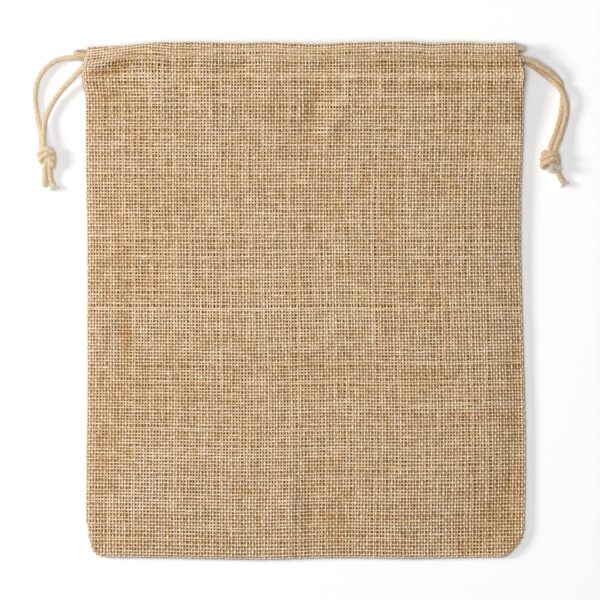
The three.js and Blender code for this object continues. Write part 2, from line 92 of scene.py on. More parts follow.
RIGHT_ROUTE = [
    (140.1, 88.6, 4.3), (142.5, 95.0, 2.9), (145.3, 105.0, 1.7), (146.2, 111.0, 1.6),
    (146.4, 116.5, 1.6), (145.9, 121.0, 1.7), (144.2, 125.4, 3.5), (139.2, 129.8, 6.0),
    (134.1, 132.8, 7.8), (128.9, 135.8, 9.0),
    (108.0, 137.7, 11.0), (50.0, 137.5, 14.2), (2.0, 137.6, 14.9), (-24.0, 137.7, 14.7),
    (-44.0, 138.2, 13.7), (-62.0, 140.0, 11.9), (-80.0, 142.0, 12.4), (-104.0, 141.6, 11.1),
    (-119.0, 139.4, 9.9), (-126.2, 139.1, 10.1), (-128.8, 139.6, 9.0), (-129.7, 140.4, 6.6),
    (-128.8, 140.9, 4.1), (-126.2, 141.0, 3.1), (-119.0, 140.8, 3.2),
    (-60.0, 141.2, 3.2), (50.0, 141.8, 3.1), (68.0, 140.1, 2.9), (86.0, 137.8, 3.1),
    (112.0, 136.8, 3.2),
    (124.4, 135.4, 3.0), (130.8, 132.1, 2.4), (135.8, 128.4, 2.2), (140.6, 124.5, 3.1),
    (144.3, 121.0, 4.7), (146.8, 117.0, 4.9), (148.2, 112.3, 4.5), (148.6, 106.5, 3.4),
    (146.5, 97.5, 3.0), (143.3, 88.6, 4.9),
]


def smooth_line(route, steps=24):
    """The curve that the cord's solid follows through the points of its route."""
    p = np.array(route, float)
    p = np.vstack([2 * p[0] - p[1], p, 2 * p[-1] - p[-2]])
    u = np.linspace(0, 1, steps, endpoint=False)[:, None]
    spans = []
    for a, b, c, d in zip(p, p[1:], p[2:], p[3:]):
        ab, bc, cd = (np.linalg.norm(far - near) ** 0.5 for near, far in ((a, b), (b, c), (c, d)))
        leave = bc * ((b - a) / ab - (c - a) / (ab + bc) + (c - b) / bc)
        arrive = bc * ((c - b) / bc - (d - b) / (bc + cd) + (d - c) / cd)
        rise = u * u * (3 - 2 * u)
        spans.append(b + (c - b) * rise + leave * u * (1 - u) ** 2 - arrive * u * u * (1 - u))
    return np.vstack(spans + [p[-2:-1]])


def ring_centres(line, fine, coarse):
    """Points along a line, close together where the cord shows and further apart inside the casings."""
    lengths = np.linalg.norm(np.diff(line, axis=0), axis=1)
    middles = (line[1:] + line[:-1]) / 2
    hidden = (np.abs(middles[:, 0]) < HIDDEN_HALF_WIDTH) & (middles[:, 1] > HIDDEN_ABOVE)
    count = np.concatenate([[0], np.cumsum(lengths / np.where(hidden, coarse, fine))])
    stations = np.linspace(0, count[-1], int(count[-1]) + 1)
    return np.stack([np.interp(stations, count, line[:, axis]) for axis in range(3)], axis=1)


def braided_tube(line, thickness=None):
    """Rings of a braided cord about a line: points, faces and the braid's relief."""
    thickness = np.full(len(line), CORD) if thickness is None else thickness
    along = np.gradient(line, axis=0)
    along /= np.linalg.norm(along, axis=1)[:, None]
    length = np.concatenate([[0], np.cumsum(np.linalg.norm(np.diff(line, axis=0), axis=1))])
    start = np.cross(along[0], ASKEW)
    sides = [start / np.linalg.norm(start)]
    for direction in along[1:]:
        turned = sides[-1] - direction * sides[-1].dot(direction)
        sides.append(turned / np.linalg.norm(turned))
    side = np.array(sides)
    other = np.cross(along, side)
    angle = 2 * math.pi * np.arange(CORD_SIDES) / CORD_SIDES
    wind = 2 * math.pi * length / BRAID_PITCH
    one = np.cos(BRAID_STRANDS * (angle[None, :] + wind[:, None]))
    two = np.cos(BRAID_STRANDS * (angle[None, :] - wind[:, None]))
    relief = np.maximum(one, two)
    radius = thickness[:, None] / 2 + BRAID_DEPTH * (relief - MEAN_RELIEF)
    points = (
        line[:, None, :]
        + (radius * np.cos(angle))[..., None] * side[:, None, :]
        + (radius * np.sin(angle))[..., None] * other[:, None, :]
    )
    ring, k = np.meshgrid(np.arange(len(line) - 1), np.arange(CORD_SIDES), indexing="ij")
    after = (k + 1) % CORD_SIDES
    quads = np.stack([
        ring * CORD_SIDES + k, ring * CORD_SIDES + after,
        (ring + 1) * CORD_SIDES + after, (ring + 1) * CORD_SIDES + k,
    ], axis=-1).reshape(-1, 4)
    caps = [
        list(range(CORD_SIDES - 1, -1, -1)),
        list(range((len(line) - 1) * CORD_SIDES, len(line) * CORD_SIDES)),
    ]
    return points.reshape(-1, 3), quads.tolist() + caps, relief.ravel()


def mesh_piece(name, points, faces, material, shades, normals=None):
    """One smooth-shaded piece of the object at its place, with a value for each point per shade."""
    mesh = bpy.data.meshes.new(name)
    mesh.from_pydata((np.asarray(points) * MM).tolist(), [], faces)
    mesh.shade_smooth()
    if normals is not None:
        mesh.normals_split_custom_set_from_vertices(normals)
    for shade, values in shades.items():
        layer = mesh.attributes.new(shade, "FLOAT", "POINT")
        layer.data.foreach_set("value", np.asarray(values, np.float32))
    mesh.materials.append(material)
    piece = bpy.data.objects.new(name, mesh)
    bpy.context.scene.collection.objects.link(piece)
    return piece


def fuzzy_light(piece, relief):
    """Turns the shading of a fuzzy cord a little towards the sky, as its fibres scatter the light."""
    mesh = piece.data
    normals = np.empty(3 * len(mesh.vertices), np.float32)
    mesh.vertex_normals.foreach_get("vector", normals)
    normals = normals.reshape(-1, 3)
    normals[:, 2] += np.where(np.asarray(relief) > THREAD_RELIEF, 0, FUZZ_LIFT)
    normals /= np.linalg.norm(normals, axis=1)[:, None]
    mesh.normals_split_custom_set_from_vertices(normals.tolist())


def set_inputs(node, values):
    """Gives values to some inputs of a material's node, and hands the node back."""
    for socket, value in values.items():
        node.inputs[socket].default_value = value
    return node


def cotton_finish(name, painted_groove_shade, cord_colour, fray_colour_and_light):
    """Unbleached cotton: cream, with painted shade in the grooves of the braid, paler where it frays (partly
    painted light against the shade among the thin threads), and with specks.
    """
    cotton = bpy.data.materials.new(name)
    cotton.use_nodes = True
    nodes, links = cotton.node_tree.nodes, cotton.node_tree.links
    shader = set_inputs(nodes["Principled BSDF"], {
        "Roughness": 0.85, "Specular IOR Level": 0.2, "Sheen Weight": 0.12,
        "Subsurface Weight": 0.4, "Subsurface Radius": (1.0, 0.85, 0.6), "Subsurface Scale": 0.0012,
    })
    place = nodes.new("ShaderNodeTexCoord")
    groove = nodes.new("ShaderNodeAttribute")
    groove.attribute_name = "relief"
    specks = set_inputs(nodes.new("ShaderNodeTexNoise"), {"Scale": 1000.0, "Detail": 3.0})
    depth = set_inputs(nodes.new("ShaderNodeMath"), {1: GROOVE_SHADE})
    depth.operation = "MULTIPLY_ADD"
    tone_and_shade = nodes.new("ShaderNodeValToRGB")
    stops = tone_and_shade.color_ramp.elements
    stops[0].position, stops[0].color = 0.25, (*painted_groove_shade, 1)
    stops[1].position, stops[1].color = 1.0, (*fray_colour_and_light, 1)
    stops.new(0.78).color = (*cord_colour, 1)
    nap = set_inputs(nodes.new("ShaderNodeBump"), {"Strength": 0.25, "Distance": 0.0002})
    links.new(place.outputs["Object"], specks.inputs["Vector"])
    links.new(groove.outputs["Fac"], depth.inputs[0])
    links.new(specks.outputs["Fac"], depth.inputs[2])
    links.new(depth.outputs[0], tone_and_shade.inputs["Fac"])
    links.new(tone_and_shade.outputs["Color"], shader.inputs["Base Color"])
    links.new(specks.outputs["Fac"], nap.inputs["Height"])
    links.new(nap.outputs["Normal"], shader.inputs["Normal"])
    return cotton


# The right-hand cord is a shade darker than the left-hand one.
cottons = {
    "left": cotton_finish("left_cotton", (0.43, 0.30, 0.165), (0.69, 0.565, 0.405), (0.96, 0.91, 0.83)),
    "right": cotton_finish("right_cotton", (0.34, 0.225, 0.115), (0.655, 0.497, 0.317), (0.92, 0.86, 0.78)),
}
drawstrings = {}
for side, route in (("left", LEFT_ROUTE), ("right", RIGHT_ROUTE)):
    line = ring_centres(smooth_line(route), BRAID_STEP, HIDDEN_STEP)
    points, faces, relief = braided_tube(line)
    piece = mesh_piece(f"{side}_cord", points, faces, cottons[side], {"relief": relief})
    fuzzy_light(piece, relief)
    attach(piece, "root")
    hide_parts(f"{side}_drawstring")
    drawstrings[side] = (piece, line)


# Knots: both ends of each drawstring tied together in one tight overhand knot. Below it the cut ends of
# the cord flare and have opened into loose threads.
# Each knot's strands are first the two that come in, then its turns, and last its two cut ends.
KNOTS = {
    "left": [
        [(-149.6, 90.0, 2.7), (-149.3, 88.1, 3.0), (-148.9, 85.0, 4.0), (-147.8, 80.5, 4.6)],
        [(-148.2, 90.0, 5.7), (-148.2, 88.1, 6.0), (-147.7, 85.0, 5.6), (-146.8, 81.0, 4.8)],
        [(-148.2, 80.6, 1.9), (-150.3, 81.6, 2.7), (-150.4, 83.6, 4.8), (-148.9, 85.3, 6.3),
         (-146.9, 85.9, 6.9), (-144.9, 85.6, 6.8), (-143.4, 84.3, 6.0), (-142.8, 82.7, 4.6),
         (-143.8, 81.4, 3.0)],
        [(-146.6, 78.2, 1.9), (-148.9, 78.4, 2.9), (-149.7, 79.8, 5.2), (-149.0, 81.4, 6.8),
         (-147.5, 82.5, 7.5), (-145.9, 82.9, 7.4), (-144.5, 82.5, 6.4), (-144.2, 81.2, 4.6)],
        [(-144.6, 81.6, 4.2), (-143.0, 81.0, 5.8), (-142.4, 79.7, 5.4), (-143.0, 78.4, 3.6)],
        [(-147.0, 80.2, 5.0), (-145.8, 80.2, 6.2), (-144.5, 79.4, 6.6), (-143.3, 77.8, 5.8),
         (-142.6, 76.5, 4.2), (-143.6, 76.6, 2.6)],
        [(-147.0, 79.5, 4.6), (-147.5, 76.0, 4.2), (-147.6, 71.5, 2.9), (-147.4, 65.6, 1.9)],
        [(-145.2, 79.5, 4.8), (-144.7, 76.0, 4.4), (-144.5, 72.0, 2.9), (-144.0, 68.4, 2.1),
         (-142.5, 64.8, 1.9)],
    ],
    "right": [
        [(140.6, 90.0, 4.0), (139.9, 88.0, 4.4), (139.3, 84.5, 4.8), (139.3, 80.0, 4.8)],
        [(143.8, 90.0, 4.6), (143.0, 88.0, 5.0), (142.1, 84.5, 5.0), (141.0, 80.0, 4.8)],
        [(136.4, 81.2, 2.6), (135.5, 82.9, 3.8), (136.7, 84.0, 5.0), (138.6, 83.2, 4.8)],
        [(137.4, 79.0, 1.9), (135.3, 79.2, 2.8), (135.0, 80.4, 4.8), (136.7, 81.3, 6.6),
         (139.3, 82.6, 7.6), (141.5, 83.0, 7.2), (143.1, 82.4, 5.6), (143.2, 80.8, 3.6), (141.8, 79.8, 2.4)],
        [(138.4, 75.9, 1.9), (136.0, 75.5, 2.6), (134.9, 76.5, 4.4), (136.3, 77.8, 6.4),
         (138.9, 79.3, 7.6), (141.4, 80.2, 7.3), (143.2, 80.0, 5.8), (143.6, 78.4, 3.8), (142.0, 77.4, 2.4)],
        [(140.6, 78.6, 4.6), (141.1, 77.4, 5.2), (141.3, 76.2, 5.6)],
        [(142.2, 78.4, 4.0), (142.9, 75.2, 3.6), (143.7, 72.8, 2.8), (145.1, 70.2, 2.1), (147.1, 66.6, 1.9)],
    ],
}
# The middle of each knot, which shows between its turns.
HEARTS = {
    "left": [(-146.0, 84.6, 4.4), (-146.2, 81.0, 4.4), (-146.4, 78.0, 4.2)],
    "right": [(139.6, 83.4, 4.6), (139.2, 80.0, 4.6), (139.0, 76.6, 4.2)],
}
HEART_THICKNESS = 6.4
HEART_BLUNTNESS = 1.05
TAIL_START, TAIL_FLARE = 0.95, 1.25  # thickness of a cut end at the knot and at its tip, in cords
ABOVE_TABLE = 0.05
KNOT_SEED = 21

# The frayed ends, the last two strands of each knot: number of threads, longest thread, spread.
FRAYS = {
    "left": [(80, 2.2, 0.8), (130, 3.2, 1.4)],
    "right": [(260, 3.8, 2.7), (120, 2.4, 1.3)],
}
FRAY_RINGS = 5
FRAY_SIDES = 3
FRAY_RADIUS = 0.17
FRAY_TAPER = 0.5
FRAY_ROOT = 0.6  # how far inside the cut end a thread starts
FRAY_SEAT = 0.85  # how far out it starts there, in radii of the cord
FRAY_INNER = 0.45  # the least that a thread leans out
FRAY_SHORTEST = 0.3
FRAY_CURL = 0.15
# How pale the threads are: partly the frayed cotton's own paleness, partly painted light against the shade
# among them.
FRAY_RELIEF = (1.4, 2.9)


def thread_faces(threads):
    """The sides and both ends of many thin tubes, from their points by tube, ring and corner."""
    number = np.arange(threads[..., 0].size).reshape(threads.shape[:3])
    turned = np.roll(number, -1, axis=2)
    sides = np.stack([number[:, :-1], turned[:, :-1], turned[:, 1:], number[:, 1:]], axis=-1).reshape(-1, 4)
    return sides.tolist() + number[:, 0, ::-1].tolist() + number[:, -1].tolist()


def frayed_end(line, radius, threads, reach, spread, random):
    """Thin threads that open out from the last point of a cord: points, faces and how pale they are."""
    along = line[-1] - line[-4]
    along /= np.linalg.norm(along)
    side = np.cross(along, (0, 0, 1.0))
    side /= np.linalg.norm(side)
    upright = np.cross(side, along)
    turn = random.uniform(0, 2 * math.pi, threads)
    out = FRAY_INNER + (1 - FRAY_INNER) * np.sqrt(random.uniform(0, 1, threads))
    lean = (np.cos(turn) * out)[:, None] * side + (np.sin(turn) * out)[:, None] * upright
    length = reach * random.uniform(FRAY_SHORTEST, 1.0, threads)
    curl = random.normal(0, FRAY_CURL * reach, (threads, 3))
    share = np.linspace(0, 1, FRAY_RINGS)
    centre = line[-1] - FRAY_ROOT * along
    centre = centre + lean[:, None, :] * (FRAY_SEAT * radius + spread * share[:, None])
    centre = centre + (length[:, None] * share)[..., None] * along + curl[:, None, :] * (share ** 2)[:, None]
    angle = 2 * math.pi * np.arange(FRAY_SIDES) / FRAY_SIDES
    ring = np.cos(angle)[:, None] * side + np.sin(angle)[:, None] * upright
    points = centre[:, :, None, :] + ring * (FRAY_RADIUS * (1 - FRAY_TAPER * share))[:, None, None]
    paleness = np.broadcast_to(random.uniform(*FRAY_RELIEF, (threads, 1, 1)), points.shape[:3])
    return points.reshape(-1, 3), thread_faces(points), paleness.ravel()


for side, strands in KNOTS.items():
    random = np.random.default_rng(KNOT_SEED)
    heart = ring_centres(smooth_line(HEARTS[side]), BRAID_STEP, BRAID_STEP)
    along_heart = np.linspace(-1, 1, len(heart))
    parts = [braided_tube(heart, HEART_THICKNESS * np.sqrt(HEART_BLUNTNESS - along_heart ** 2))]
    for k, strand in enumerate(strands):
        line = ring_centres(smooth_line(strand), BRAID_STEP, BRAID_STEP)
        frayed = k - len(strands) + len(FRAYS[side])
        if frayed < 0:
            parts.append(braided_tube(line))
            continue
        flare = CORD * (TAIL_START + (TAIL_FLARE - TAIL_START) * np.linspace(0, 1, len(line)) ** 2)
        parts.append(braided_tube(line, flare))
        parts.append(frayed_end(line, flare[-1] / 2, *FRAYS[side][frayed], random))
    starts = np.cumsum([0] + [len(points) for points, _, _ in parts])
    faces = [
        [corner + start for corner in face]
        for (_, part_faces, _), start in zip(parts, starts)
        for face in part_faces
    ]
    points = np.vstack([part[0] for part in parts])
    points[:, 2] = np.maximum(points[:, 2], ABOVE_TABLE)
    relief = np.concatenate([part[2] for part in parts])
    knot = mesh_piece(f"{side}_overhand_knot", points, faces, cottons[side], {"relief": relief})
    fuzzy_light(knot, relief)
    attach(knot, "root")
    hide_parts(f"{side}_knot")
    piece, line = drawstrings[side]


# Panels: the front and the back are the same cut of open plain-woven jute, seamed at the sides and
# the bottom. Each top edge is folded in and sewn down as the casing. Warp yarns run up the bag and
# weft yarns across it, over and under each other, thick and thin as hand-spun jute is.
CLOTH = 1.3  # thickness of the woven jute
HALF_WIDTH = 125.0
BOTTOM = -145.9
TOP = 147.0
STITCH_LINE = 128.0  # under the casing
EDGE_RADIUS = 2.3  # how roundly the cloth turns into the seams
SEAM_HEIGHT = 3.0
GAP = 0.3
DOME = 7.4  # how far the front rises towards its middle
DOME_REACH = 90.0  # distance from the bottom seam at which it has risen
MOUTH_RISE = 5.2  # how far the front casing stands up in the middle
LIFT_START = 84.0  # where the front starts to rise to its casing
SLIT_START, SLIT_END = 111.0, 123.0  # where the side seam opens below the casing
TUNNEL = 3.8  # clear height of a casing
PINCH = 0.3  # share of the casing's height over which it closes to the stitch line
HEM_END = 1.5  # the hem's edge below the stitch line
CROSSING_REACH = 20.0  # half length of the swelling where the two cords cross in a casing
CROSSING_RISE = 0.68  # how much fuller the casing is there
FRONT_CROSSING = -62.0
BACK_CROSSING = 68.0

# The bag's outline, bottom to top: height up the bag, left edge, right edge.
OUTLINE = np.array([
    (-146.8, -111.6, 110.8), (-145.6, -115.1, 113.0), (-143.9, -118.2, 115.9), (-141.6, -120.3, 118.4),
    (-137.7, -121.8, 122.0), (-131.4, -123.0, 124.6), (-122.8, -124.0, 125.0), (-102.9, -124.0, 125.4),
    (-74.4, -123.7, 125.4), (-45.9, -123.4, 124.8), (-17.4, -123.4, 124.0), (28.2, -123.4, 122.8),
    (62.4, -124.0, 123.0), (90.9, -124.3, 124.0), (115.4, -124.3, 124.2), (122.3, -125.4, 124.2),
    (127.4, -126.0, 124.8), (133.1, -126.0, 123.8), (139.9, -124.0, 122.0), (146.8, -123.1, 119.7),
])
CORNER_TOP = -122.8
CASING_FOOT = 115.4
CORNER_EASE = 20.0  # how far in the warp spreads where the casing's ends are wider
EDGE_IN = 0.4  # from the outline to the middle of the outermost yarn
SLOPE_STEP = 0.5

# How far the top and bottom edges sag: place across the bag, sag.
TOP_EDGE = np.array([
    (-125, 3.0), (-105, 2.2), (-88, 0.6), (-65, 0.2), (-41, 0.8), (-20, 0.3), (6, 1.2),
    (32, 0.3), (62, 0.0), (74, 0.8), (92, 0.3), (108, 0.8), (125, 0.4),
])
BOTTOM_EDGE = np.array([(-125, -0.4), (-85, 0.2), (-28, 1.1), (20, 0.1), (62, 0.6), (125, -0.4)])

# Soft troughs and ridges of the front: x, y, half length, half width, turn in degrees, rise.
FOLDS = [
    (-66, 132.5, 8, 3.2, 0, -1.3), (-39, 132.5, 8, 3.2, 0, -1.2), (12, 132.2, 8, 3.2, -20, -1.5),
    (82, 133.0, 36, 3.2, 0, -0.8), (-82, 112.0, 22, 7.0, 90, 1.6), (-54, 114.0, 16, 6.0, 90, 1.4),
    (-22, 117.0, 13, 5.5, 90, 1.2), (-108, 116.0, 8, 7.0, 0, -1.4), (72, 119.5, 44, 4.0, 2, -1.5),
    (5, 104.0, 20, 5.5, 84, -2.0), (19, 104.0, 22, 5.0, 66, 1.5), (0, -21.0, 125, 8.0, 1, 1.4),
    (5, -41.0, 115, 9.0, -1, -0.9), (-9, -117.0, 27, 4.5, 90, 1.6), (4, -119.0, 24, 6.0, 92, -1.1),
    (-74, -92.0, 34, 5.0, 2, 1.2), (-101, -10.0, 38, 4.5, 90, -1.1), (124, -55.0, 85, 10.0, 90, -1.8),
    (106, -120.0, 36, 20.0, 45, -2.0),
]

# The crease under the left drawstring, where the casing's cloth falls from the cord to the stitch line.
CREASE_START = (-121.5, 127.5)
CREASE_END = (-101.0, 136.5)
CREASE_FLOOR = 0.0  # its height over the middle of the casing
CREASE_FOOT = 4.0  # how far from the stitch line that is reached
CREASE_SIDE = (-0.5, 2.4)  # where beyond its line the cloth rises again
CREASE_DEEPENS = (-0.25, 0.2)  # shares of its length
CREASE_FADES = (0.65, 1.2)
LEAST_RISE = 1.0  # how far the front stays above its seam in the deepest fold

# Lengths along the cloth, from the bottom seam over the casing's fold to the edge of the hem.
ROLL = EDGE_RADIUS * math.pi / 2  # cloth taken up by the turn into a seam
CLOTH_WIDTH = 2 * (HALF_WIDTH - EDGE_RADIUS + ROLL)
TUNNEL_HALF = (TUNNEL + CLOTH) / 2
STITCHED_HALF = (CLOTH + GAP) / 2
CLOTH_TOP = TOP - EDGE_IN
CLOTH_BOTTOM = BOTTOM + EDGE_IN
STRAIGHT = CLOTH_TOP - STITCH_LINE - TUNNEL_HALF  # casing below its rounded top
STITCH_AT = ROLL + STITCH_LINE - CLOTH_BOTTOM - EDGE_RADIUS
FOLD_AT = STITCH_AT + STRAIGHT
FLAP_AT = FOLD_AT + math.pi * TUNNEL_HALF
FOLD_MIDDLE = (FOLD_AT + FLAP_AT) / 2
FLAP_STITCH_AT = FLAP_AT + STRAIGHT
CLOTH_LENGTH = FLAP_STITCH_AT + HEM_END
CASING_MIDDLE = CLOTH + 2 * TUNNEL_HALF + GAP + CLOTH / 2 + TUNNEL_HALF


def read_table(rows, column, at):
    """One column of a table on a smooth curve through its rows."""
    keys, values = rows[:, 0], rows[:, column]
    place = np.clip(at, keys[0], keys[-1])
    i = np.clip(np.searchsorted(keys, place) - 1, 0, len(keys) - 2)
    before = np.maximum(np.arange(len(keys)) - 1, 0)
    after = np.minimum(np.arange(len(keys)) + 1, len(keys) - 1)
    slope = (values[after] - values[before]) / (keys[after] - keys[before])
    span = keys[i + 1] - keys[i]
    t = (place - keys[i]) / span
    bend = t * (1 - t) * ((1 - t) * slope[i] - t * slope[i + 1]) * span
    return values[i] + (values[i + 1] - values[i]) * t * t * (3 - 2 * t) + bend


def eased(value, low, high):
    """A smooth rise from 0 to 1 between two limits."""
    share = np.clip((value - low) / (high - low), 0, 1)
    return share * share * (3 - 2 * share)


def soft_spots(rows, x, y):
    """The sum of soft oval spots: x, y, half length, half width, turn in degrees, amount."""
    total = np.zeros_like(x)
    for spot_x, spot_y, along, across, turn, amount in rows:
        c, s = math.cos(math.radians(turn)), math.sin(math.radians(turn))
        u = ((x - spot_x) * c + (y - spot_y) * s) / along
        v = ((y - spot_y) * c - (x - spot_x) * s) / across
        total += amount * np.exp(-u * u - v * v)
    return total


def crease_share(x, y):
    """How much of the crease's full depth the cloth has at a place."""
    start, end = np.array(CREASE_START), np.array(CREASE_END)
    length = np.linalg.norm(end - start)
    along = (end - start) / length
    u = ((x - start[0]) * along[0] + (y - start[1]) * along[1]) / length
    above = (y - start[1]) * along[0] - (x - start[0]) * along[1]
    ends = eased(u, *CREASE_DEEPENS) * (1 - eased(u, *CREASE_FADES))
    return ends * (1 - eased(above, *CREASE_SIDE))


def outline_room(x, y):
    """How far a place lies inside the bag's side edges, square to them; less than 0 outside."""
    rooms = []
    for column, sign in ((1, 1), (2, -1)):
        edge = read_table(OUTLINE, column, y) + sign * EDGE_IN
        higher, lower = (read_table(OUTLINE, column, y + step) for step in (SLOPE_STEP, -SLOPE_STEP))
        slope = (higher - lower) / (2 * SLOPE_STEP)
        rooms.append(sign * (x - edge) / np.sqrt(1 + slope ** 2))
    return np.minimum(*rooms)


def cloth_point(front, s, t):
    """The middle of a panel's cloth: s across from seam to seam, t up from the bottom seam, over the
    casing's fold and down to the edge of the hem."""
    share = np.clip((s - ROLL) / (CLOTH_WIDTH - 2 * ROLL), 0, 1)
    nominal = HALF_WIDTH * (2 * share - 1)
    side_turn = np.clip(np.minimum(s, CLOTH_WIDTH - s) / EDGE_RADIUS, 0, math.pi / 2)
    bottom_turn = np.clip(t / EDGE_RADIUS, 0, math.pi / 2)
    bottom = CLOTH_BOTTOM - read_table(BOTTOM_EDGE, 1, nominal)
    straight = CLOTH_TOP - read_table(TOP_EDGE, 1, nominal) - TUNNEL_HALF - STITCH_LINE

    foot = bottom + EDGE_RADIUS
    fold_turn = np.clip((t - FOLD_AT) / TUNNEL_HALF, 0, math.pi)
    up = np.clip((t - STITCH_AT) / STRAIGHT, 0, 1)
    up = np.where(t > FLAP_AT, (FLAP_STITCH_AT - t) / STRAIGHT, up)
    body_y = foot + (STITCH_LINE - foot) * (t - ROLL) / (STITCH_AT - ROLL)
    y = np.where(t > STITCH_AT, STITCH_LINE + up * straight + TUNNEL_HALF * np.sin(fold_turn), body_y)
    y = np.where(t < ROLL, bottom + EDGE_RADIUS * (1 - np.cos(bottom_turn)), y)

    # The yarns run straight up the bag, and spread only where the casing's ends are wider.
    left = read_table(OUTLINE, 1, y) + EDGE_IN
    right = read_table(OUTLINE, 2, y) - EDGE_IN
    plain_y = np.clip(y, CORNER_TOP, CASING_FOOT)
    plain_left = read_table(OUTLINE, 1, plain_y) + EDGE_IN
    plain_right = read_table(OUTLINE, 2, plain_y) - EDGE_IN
    width = plain_right - plain_left - 2 * EDGE_RADIUS
    x = plain_left + EDGE_RADIUS + share * width
    wider_left = np.minimum(left - plain_left, 0)
    wider_right = np.maximum(right - plain_right, 0)
    x += wider_left * np.exp(-share * width / CORNER_EASE)
    x += wider_right * np.exp(-(1 - share) * width / CORNER_EASE)
    inset = EDGE_RADIUS * (1 - np.cos(side_turn))
    x = np.where(s < ROLL, plain_left + wider_left + inset, x)
    x = np.where(s > CLOTH_WIDTH - ROLL, plain_right + wider_right - inset, x)

    sewn = 1 - eased(y, SLIT_START, SLIT_END)
    inside = outline_room(x, y)
    corner_turn = np.where(y < CORNER_TOP, 1 - np.clip(inside / EDGE_RADIUS, 0, 1), 0)
    side_rise = np.minimum(np.sin(side_turn), np.sqrt(1 - corner_turn ** 2))
    edge = (1 - sewn * (1 - side_rise)) * np.sin(bottom_turn)
    away = (x - (FRONT_CROSSING if front else BACK_CROSSING)) / CROSSING_REACH
    full = TUNNEL_HALF * (1 + CROSSING_RISE * np.exp(-away * away))
    half = STITCHED_HALF + (full - STITCHED_HALF) * eased(up, 0, PINCH)
    if not front:
        seam = SEAM_HEIGHT - GAP / 2
        z = seam + (CLOTH / 2 - seam) * edge + half * (1 - np.cos(fold_turn))
        return np.stack([x, y, z], axis=-1)
    seam = SEAM_HEIGHT + GAP / 2
    middle = (left + right) / 2
    from_middle = np.clip(np.abs(x - middle) / ((right - left) / 2 - EDGE_RADIUS), 0, 1)
    from_bottom = 1 - np.clip((y - bottom) / DOME_REACH, 0, 1)
    body = seam + EDGE_RADIUS + DOME * (1 - from_middle ** 3) * (1 - from_bottom ** 3)
    casing = CASING_MIDDLE + MOUTH_RISE * (1 - from_middle ** 2) + half * np.cos(fold_turn)
    floor = STITCHED_HALF + (CREASE_FLOOR - STITCHED_HALF) * eased(y, STITCH_LINE, STITCH_LINE + CREASE_FOOT)
    relief = soft_spots(FOLDS, x, y) + np.minimum(floor - half, 0) * crease_share(x, y)
    relief *= np.maximum(np.cos(fold_turn), 0)
    height = body + (casing - body) * eased(y, LIFT_START, STITCH_LINE) + relief
    return np.stack([x, y, seam + np.maximum(height - seam, LEAST_RISE) * edge], axis=-1)


WARPS = 146
WEFTS = 172
# How close the yarns lie: millimetres along the cloth from its left or lower edge, share of the mean.
CLOSENESS_STEPS = 400
WARP_CLOSENESS = [(0, 1.0), (80, 1.0), (120, 1.01), (160, 1.0)]
WEFT_CLOSENESS = [
    (32, 0.95), (63, 1.0), (94, 1.035), (125, 1.01), (157, 1.02), (188, 0.97), (219, 1.005), (250, 1.005),
]
YARN_RISE = 0.32  # how far a yarn rises and dips at each crossing
YARN_DEPTH = 0.74
WARP_WIDTH = 0.95
WEFT_WIDTH = 0.89
YARN_CORNERS = 4
SIDE_LIFT = 0.95  # how far the shading of a yarn's sides is turned up
EDGE_FUZZ = 1.5  # and where the cloth turns down at an edge
STRIP_SIDE, STRIP_END = 0.12, 0.004  # margins of a yarn's strip on the baked picture
FIBRE_SHIFT = 3.7  # from one yarn to the next, so that no two have the same fibres
FIBRE_CONTRAST = 0.35


def drift(random, rows, columns, reach):
    """Smooth random values along each row, with a spread of 1."""
    knots = int(columns / reach) + 4
    heights = random.normal(0, 1, (rows, knots))
    place = np.linspace(1, knots - 2.001, columns)
    i = place.astype(int)
    t = place - i
    t = t * t * (3 - 2 * t)
    values = heights[:, i] * (1 - t) + heights[:, i + 1] * t
    return values / values.std()


def spacing(random, count, length, unevenness, closeness):
    """Places of a row of yarns, closer in some parts than in others and each a little off its place."""
    at = np.linspace(0, length, CLOSENESS_STEPS)
    dense = np.interp(at, *zip(*closeness))
    reached = np.concatenate([[0], np.cumsum((dense[1:] + dense[:-1]) / 2)])
    share = (np.arange(count) + 0.5 + random.normal(0, unevenness, count)) / count
    return np.interp(share * reached[-1], reached, at)


